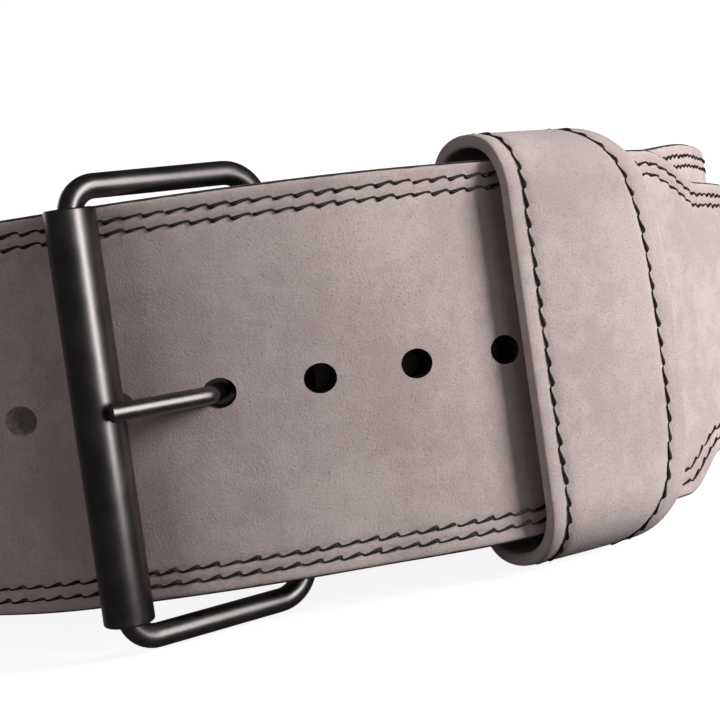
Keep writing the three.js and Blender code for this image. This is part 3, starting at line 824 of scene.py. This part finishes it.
bends, shaft, shaft_reach = prong_bends()
bent = smooth_path(bends, 60)
straight = bends[-1] + shaft * np.linspace(0, shaft_reach - PRONG_TIP_ROUND, 12)[1:, None]
tip_share = np.array([0.04, 0.5, 0.96, 1.0])
chamfer = straight[-1] + shaft * (PRONG_TIP_ROUND * tip_share)[:, None]
flat_path = np.concatenate([bent, straight, chamfer])
prong_path = np.concatenate([flat_path, np.zeros((len(flat_path), 1))], axis=1)
prong_radius = np.full(len(prong_path), PRONG_RADIUS)
prong_radius[-len(tip_share):] -= PRONG_TIP_ROUND * tip_share
prong_rings = rings_along(prong_path, np.array([0, 0, 1.0]), prong_radius)
prong = make_piece("prong_wire", stand(in_buckle(prong_rings)), *tube(prong_rings), GUNMETAL)
ring_profile = [
    (PRONG_RING_BORE, -PRONG_RADIUS), (PRONG_RING_RADIUS, -PRONG_RADIUS),
    (PRONG_RING_RADIUS, PRONG_RADIUS), (PRONG_RING_BORE, PRONG_RADIUS),
]
ring = lathe(BAR, ring_profile)
ring_quads = grid_quads(*ring.shape[:2], True, True)
cut(prong, make_piece("ring", stand(ring), ring_quads, material=GUNMETAL), "UNION")
prong.data.set_sharp_from_angle(angle=math.radians(40))
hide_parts("buckle_prong")

# %% [markdown]
# ## The keeper
#
# The keeper is a band of the same leather, folded round both layers, a little darker as painted
# shade. Its edges are rounded, and its right edge is drawn in where it turns over the strap. It is
# a grid again: one way goes round the strap, the other over the band's section.

# %% Keeper
KEEPER_ALONG = 0.1058
KEEPER_REACH = 0.0265
KEEPER_PULL = 0.014
KEEPER_WALL = 0.0036
KEEPER_FACE_GAP = 0.0032
KEEPER_SIDE_GAP = 0.0047
KEEPER_DROP = 0.0003
KEEPER_BACK_SHIFT = 0.0035
KEEPER_STITCH_LEFT = 0.0052
KEEPER_STITCH_RIGHT = 0.0078
KEEPER_DIP = 0.0004
KEEPER_DIP_REACH = 0.0013
KEEPER_EDGE_POWER = 0.55


KEEPER_HALF = STRAP_WIDTH / 2 + KEEPER_SIDE_GAP + KEEPER_WALL / 2


def keeper_round(step=0.0012):
    """Out, height and outward direction round the band's middle line: a half circle over the top
    edge, straight down the back, a half circle under the lower edge and straight up the face."""
    outer = KEEPER_FACE_GAP + KEEPER_WALL / 2
    inner = -(2 * STRAP_THICKNESS + LAYER_GAP + KEEPER_FACE_GAP + KEEPER_WALL / 2)
    radius = (outer - inner) / 2
    reach = KEEPER_HALF - radius
    turn = np.linspace(0, np.pi, 40)
    straight = np.linspace(reach, -reach, int(2 * reach / step))[1:-1]
    stretches = []
    for side, out in ((1, inner), (-1, outer)):
        normal = side * np.stack([np.cos(turn), np.sin(turn)], axis=1)
        bend = np.array([inner + radius, side * reach]) + radius * normal
        stretches.append(np.concatenate([bend, normal], axis=1))
        run = np.zeros((len(straight), 4)) + [out, 0, -side, 0]
        run[:, 1] = side * straight
        stretches.append(run)
    return np.concatenate(stretches) - [0, KEEPER_DROP, 0, 0]


def keeper_edges(out, height):
    """Left edge and right edge, which is drawn in by a power of the height. Behind the strap both
    lie a little further left."""
    pull = KEEPER_PULL * np.abs((height + KEEPER_DROP) / KEEPER_HALF) ** 3.5
    behind = smooth(-out / (2 * STRAP_THICKNESS))
    middle = KEEPER_ALONG - KEEPER_BACK_SHIFT * behind
    return middle - KEEPER_REACH, middle + KEEPER_REACH - pull


def keeper_section(face=60, round_steps=10):
    """Over the outer face, round the right edge, back under and round the left edge. Columns:
    which edge or -1 for a share between, distance in from the edge, offset in half walls."""
    turn = np.linspace(-np.pi / 2, np.pi / 2, round_steps)[1:-1]
    share = np.linspace(0, 1, face)
    rows = [(s, 0.0, 1.0, 0.0) for s in share]
    squarer = np.stack([np.abs(np.cos(turn)), np.abs(np.sin(turn))], axis=1) ** KEEPER_EDGE_POWER
    beyond, offset = squarer[:, 0], squarer[:, 1] * np.sign(np.sin(turn))
    rows += [(1.0, b, -o, 1.0) for b, o in zip(beyond, offset)]
    rows += [(s, 0.0, -1.0, 0.0) for s in share[::-1]]
    rows += [(0.0, -b, o, 1.0) for b, o in zip(beyond, offset)]
    return np.array(rows)


def keeper_grid(stations, section):
    """Every station carries the section between its two edges, whose ends are half circles. The
    outer face dips by a bell curve along both rows of stitches."""
    out, height, normal_out, normal_height = (column[:, None] for column in stations.T)
    share, beyond, offset, at_edge = section.T
    left, right = keeper_edges(out, height)
    half_wall = KEEPER_WALL / 2
    along = (left + half_wall) + (right - left - KEEPER_WALL) * share + half_wall * beyond
    from_left, from_right = along - left, right - along
    bells = sum(
        np.exp(-(((reach - row) / KEEPER_DIP_REACH) ** 2))
        for reach, row in ((from_left, KEEPER_STITCH_LEFT), (from_right, KEEPER_STITCH_RIGHT))
    )
    off = half_wall * offset - KEEPER_DIP * bells * (offset > 0.99)
    points = belt_point(along, out + normal_out * off, height + normal_height * off)
    return points, np.broadcast_to(along, points.shape[:2])


keeper_stations = keeper_round()
keeper_points, keeper_u = keeper_grid(keeper_stations, keeper_section())
keeper_quads = grid_quads(*keeper_points.shape[:2], True, True)
keeper = make_piece("keeper_leather", stand(keeper_points), keeper_quads, material=SHADED_KEEPER_NUBUCK)
round_length = np.cumsum(
    np.linalg.norm(np.diff(keeper_stations[:, :2], axis=0, prepend=keeper_stations[:1, :2]), axis=1)
)
keep_flat_place(keeper, keeper_u, np.broadcast_to(round_length[:, None], keeper_u.shape))
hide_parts("keeper")
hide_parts("belt_strap")

# %% [markdown]
# ## Stitches
#
# Two rows of thick dark thread run along both edges of the strap, round the tongue's shoulders
# and its tip, and one row along each edge of the keeper. Each stitch comes up out of its hole,
# leans across the row and dives into the next, so a row looks like a string of waves. One stitch
# has a few dozen faces, and numpy places all the copies at once.

# %% One stitch and its copies
STITCH_PITCH = 0.0052


# Rows: place along in pitches, sideways, out and radius in mm. It comes up out of its hole, lies
# thick on the low side, rises thin to the other side and drops back into the next hole.
STITCH_LINE = np.array([
    (-0.05, -0.10, -0.45, 0.32),
    (0.04, -0.32, 0.00, 0.42),
    (0.16, -0.36, 0.26, 0.48),
    (0.32, -0.20, 0.32, 0.44),
    (0.52, 0.04, 0.28, 0.33),
    (0.74, 0.26, 0.20, 0.27),
    (0.90, 0.32, 0.14, 0.26),
    (1.00, 0.10, 0.05, 0.30),
    (1.07, -0.16, -0.40, 0.32),
])


def stitch_pattern(sides=6):
    """Along, sideways and out of a stitch's skin: circles square to the row round its line."""
    turn = np.linspace(0, 2 * np.pi, sides, endpoint=False)[None, :]
    along, sideways, out, radius = (column[:, None] for column in STITCH_LINE.T)
    skin = sideways + radius * np.cos(turn), out + 0.9 * radius * np.sin(turn)
    return (along - 0.5 + 0 * turn) * STITCH_PITCH, skin[0] / 1000, skin[1] / 1000


def stitch_copies(centres, headings, normals, seed=0):
    """Pattern coordinates times each stitch's heading, sideways direction and normal, with each
    stitch drawn a little tighter or looser and moved a little."""
    along, sideways, out = stitch_pattern()
    side = np.cross(normals, headings)
    chance = np.random.default_rng(seed)
    wide, high = chance.uniform(0.8, 1.25, (2, len(centres), 1, 1, 1))
    shift = chance.normal(0, 1, (2, len(centres), 1)) * [[[0.00016]], [[0.00010]]]
    centres = centres + headings * shift[0] + side * shift[1]
    place = [
        np.einsum("rs,nk->nrsk", value, axis) * scale
        for value, axis, scale in ((along, headings, 1), (sideways, side, wide), (out, normals, high))
    ]
    return centres[:, None, None] + sum(place)


def make_stitches(name, copies):
    """All copies as one mesh, with a cap at both ends of each stitch."""
    count, rings, sides = copies.shape[:3]
    quads, caps = tube(copies[0])
    first = np.arange(count)[:, None, None] * rings * sides
    all_quads = (quads[None] + first).reshape(-1, 4)
    all_caps = [[start + i for i in cap] for start in first.ravel() for cap in caps]
    return make_piece(name, copies, all_quads, all_caps, THREAD, smooth_angle=80)


def evenly(path, pitch):
    """Points every pitch along a path, and the heading there."""
    length = np.concatenate([[0], np.cumsum(np.linalg.norm(np.diff(path, axis=0), axis=1))])
    count = int(length[-1] / pitch)
    at = (np.arange(count) + 0.5) * length[-1] / count
    ahead = np.stack([np.interp(at + pitch / 10, length, axis) for axis in path.T], axis=1)
    here = np.stack([np.interp(at, length, axis) for axis in path.T], axis=1)
    return here, ahead - here


def unit(vectors):
    """Vectors over their lengths."""
    return vectors / np.linalg.norm(vectors, axis=-1, keepdims=True)


# %% Stitches of the strap
def stitch_route(row):
    """The strap's outline on the flat leather, moved in by the row's distance."""
    along = np.concatenate([
        np.arange(EYE_ALONG + EYE_TAPER, TIP_ALONG - TIP_CORNER_RADIUS, 0.001),
        TIP_ALONG - TIP_CORNER_RADIUS * (1 - np.sin(np.linspace(0, np.pi / 2, 60))),
    ])
    upper = np.stack([along, edge_height(along, 1)], axis=1)
    lower = np.stack([along, edge_height(along, -1)], axis=1)[::-1]
    outline = np.concatenate([upper, lower])
    heading = unit(np.gradient(outline, axis=0))
    return outline + row * np.stack([heading[:, 1], -heading[:, 0]], axis=1)


def on_face(flat, face):
    """Places and outward directions of flat points (along, height) on a face of the strap."""
    outer, inner, _ = faces(flat[:, 0])
    depth = (outer + STITCH_DIP, inner - STITCH_DIP)[face]
    side = (1, -1)[face]
    height = flat[:, 1] + rise(flat[:, 0])
    place = belt_point(flat[:, 0], -depth, height)
    return place, side * unit(belt_point(flat[:, 0], 0.001 - depth, height) - place)


rows = []
for row in STITCH_ROWS:
    flat, step = evenly(stitch_route(row), STITCH_PITCH)
    for face in (0, 1):
        place, normal = on_face(flat, face)
        onward, _ = on_face(flat + step, face)
        rows.append(stitch_copies(place, unit(onward - place), normal))
strap_stitches = make_stitches("strap_stitches", stand(np.concatenate(rows)))
print("stitches on the strap:", sum(len(row) for row in rows))

# %% Stitches of the keeper
def keeper_face(along, height, stations):
    """Place and outward direction on the keeper's skin at each station, half a wall out."""
    out, _, normal_out, normal_height = stations.T
    half_wall = KEEPER_WALL / 2
    near, far = (
        belt_point(along, out + normal_out * off, height + normal_height * off)
        for off in (half_wall - KEEPER_DIP, half_wall - KEEPER_DIP + 0.001)
    )
    return near, unit(far - near)


def keeper_stitches(reach_in, side):
    """Evenly spaced round the band, a fixed distance in from its left or right edge."""
    loop = np.concatenate([keeper_stations, keeper_stations[:1]])
    edge = keeper_edges(loop[:, 0], loop[:, 1])[side]
    along = edge + reach_in * (1, -1)[side]
    place, normal = keeper_face(along, loop[:, 1], loop)
    both = np.concatenate([place, normal], axis=1)
    length = np.concatenate([[0], np.cumsum(np.linalg.norm(np.diff(place, axis=0), axis=1))])
    count = int(length[-1] / STITCH_PITCH)
    at = (np.arange(count) + 0.5) * length[-1] / count

    def on_loop(where):
        return np.stack([np.interp(where, length, axis) for axis in both.T], axis=1)

    here, onward = on_loop(at), on_loop(at + STITCH_PITCH / 10)
    return stitch_copies(here[:, :3], unit(onward[:, :3] - here[:, :3]), unit(here[:, 3:]))


rows = [keeper_stitches(KEEPER_STITCH_LEFT, 0), keeper_stitches(KEEPER_STITCH_RIGHT, 1)]
band_stitches = make_stitches("keeper_stitches", stand(np.concatenate(rows)))

for piece, slot_name in [
    (strap, "leather"), (keeper, "keeper_leather"), (strap_stitches, "leather"),
    (band_stitches, "keeper_leather"), (wire, "dark_metal"), (roller, "dark_metal"),
    (prong, "dark_metal"),
]:
    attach(piece, "root")

# %% [markdown]
# ## Light and camera
#
# The photo was taken on a plain white ground with large soft lamps. One big lamp stands to the
# right and lights the belt without showing in reflections; a tall narrow lamp, seen only in
# reflections, makes the long bright strip down the roller. Weaker lamps light from the front
# right and the left, and one behind on the left shows only in reflections.

# %% Stage
def flat_material(name, colour, emission=0.0):
    """A plain stage surface that can also glow."""
    material, shader, _ = new_material(name)
    shader.inputs["Base Color"].default_value = colour
    shader.inputs["Roughness"].default_value = 0.9
    shader.inputs["Emission Color"].default_value = colour
    shader.inputs["Emission Strength"].default_value = emission
    return material


def backdrop(width=6.0, front=-2.4, back=1.6, height=3.0, bend=0.8):
    """Floor, quarter bend and wall in one sheet."""
    turn = np.linspace(0, np.pi / 2, 12)
    profile = np.concatenate([
        [[front, 0.0]],
        np.stack([back - bend + bend * np.sin(turn), bend - bend * np.cos(turn)], axis=1),
        [[back, height]],
    ])
    side = np.array([-width / 2, width / 2])
    x = np.broadcast_to(side[None, :], (len(profile), 2))
    y, z = (np.broadcast_to(profile[:, axis:axis + 1], x.shape) for axis in (0, 1))
    return np.stack([x, y, z], axis=-1)


sheet = backdrop()
floor = bpy.data.meshes.new("backdrop")
quads = grid_quads(*sheet.shape[:2], False, False)
floor.from_pydata(sheet.reshape(-1, 3).tolist(), [], quads[:, ::-1].tolist())
floor_piece = bpy.data.objects.new("backdrop", floor)
bpy.context.scene.collection.objects.link(floor_piece)
floor.materials.append(flat_material("paper", (0.35, 0.35, 0.35, 1.0), 2.55))
floor_piece.visible_diffuse = False
floor_piece.visible_glossy = False
floor_piece.visible_shadow = False
floor_piece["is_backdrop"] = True

world = bpy.data.worlds.new("studio")
bpy.context.scene.world = world
world.use_nodes = True
world.node_tree.nodes["Background"].inputs["Color"].default_value = (1.0, 1.0, 1.0, 1.0)
world.node_tree.nodes["Background"].inputs["Strength"].default_value = 0.045

# %% Lamps
def softbox(name, azimuth, elevation, distance, width, height, power, target):
    """A rectangle lamp, its azimuth counted rightwards from the front, aimed at a point."""
    light = bpy.data.lights.new(name, "AREA")
    light.shape = "RECTANGLE"
    light.size = width
    light.size_y = height
    light.energy = power
    lamp = bpy.data.objects.new(name, light)
    bpy.context.scene.collection.objects.link(lamp)
    turn, rise = math.radians(azimuth), math.radians(elevation)
    away = np.array([
        math.sin(turn) * math.cos(rise), -math.cos(turn) * math.cos(rise), math.sin(rise)
    ])
    place = np.array(target) + distance * away
    look = Vector(-away).to_track_quat("-Z", "Y").to_matrix().to_4x4()
    lamp.matrix_world = Matrix.Translation(Vector(place)) @ look
    lamp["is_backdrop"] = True
    return lamp


TARGET = (0.02, -0.10, 0.06)
softbox("key", 77, 20, 2.2, 0.8, 1.0, 72.0, TARGET).visible_glossy = False
softbox("fill", 50, 22, 2.0, 0.9, 0.9, 2.8, TARGET).visible_glossy = False
softbox("left", -50, 15, 1.5, 0.6, 0.6, 3.6, TARGET).visible_glossy = False
softbox("strip", 42, 12, 1.2, 0.36, 1.05, 11.0, TARGET).visible_diffuse = False
softbox("rim", -135, 6, 1.5, 0.8, 1.0, 4.0, TARGET).visible_diffuse = False

# %% Camera
CAMERA_FROM_PRONG_HOLE = (0.0290, -0.3468, 0.0107)
CAMERA_PITCH = math.radians(90 - 1.25)
CAMERA_YAW = math.radians(-1.09)
CAMERA_ROLL = math.radians(-8.24)
lens = bpy.data.cameras.new("camera")
lens.lens = 70
lens.sensor_width = 36
camera = bpy.data.objects.new("camera", lens)
bpy.context.scene.collection.objects.link(camera)
in_belt = (
    Matrix.Translation(Vector(BUCKLE_ORIGIN) + Vector(CAMERA_FROM_PRONG_HOLE))
    @ Matrix.Rotation(CAMERA_YAW, 4, "Z")
    @ Matrix.Rotation(CAMERA_PITCH, 4, "X") @ Matrix.Rotation(CAMERA_ROLL, 4, "Z")
)
camera.matrix_world = Matrix.Translation(Vector(SHIFT)) @ TIP.to_4x4() @ in_belt
bpy.context.scene.camera = camera
camera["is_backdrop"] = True

# %% Sizes of both models
visual_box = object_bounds()
sizes = {
    name: [list(corner) for corner in box]
    for name, box in (("cad", cad_box), ("visual", visual_box))
}
print("boxes, mm:", {
    name: [[round(value * 1000, 1) for value in corner] for corner in box]
    for name, box in sizes.items()
})
